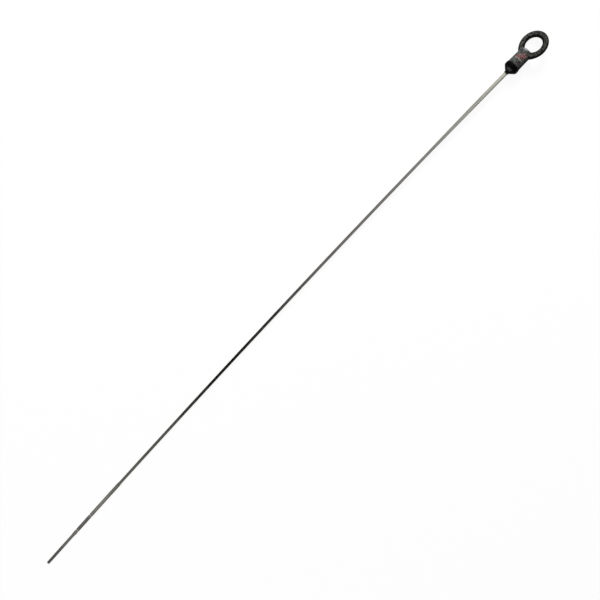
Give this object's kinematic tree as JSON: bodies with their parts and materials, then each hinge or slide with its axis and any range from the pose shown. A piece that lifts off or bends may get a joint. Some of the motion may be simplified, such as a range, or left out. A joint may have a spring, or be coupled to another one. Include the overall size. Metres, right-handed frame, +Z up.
{
  "type": "engine oil dipstick",
  "caption": "Engine oil dipstick: long bowed steel strip with coined level marks, a rubber seal plug, a collar and a moulded finger-ring grip, lying as it rests.",
  "frame": {"origin": "on the surface that the dipstick lies on, under the middle of its bounding box", "axes": "+X along the strip towards the finger ring, +Z up from the surface, +Y across; the handle is rolled about X until the ring's +Y edge rests on the surface"},
  "size_m": [0.9806, 0.04, 0.0224],
  "materials": {
    "blade_steel": "rolled spring steel, oil-stained and darkened along its middle",
    "grip_plastic": "moulded charcoal plastic, scuffed and mottled",
    "seal_rubber": "black oil-wetted rubber",
    "collar_plastic": "black plastic"
  },
  "bodies": {
    "root": {"blade": "blade_steel", "grip": "grip_plastic", "seal": "seal_rubber", "collar": "collar_plastic"}
  },
  "joints": []
}
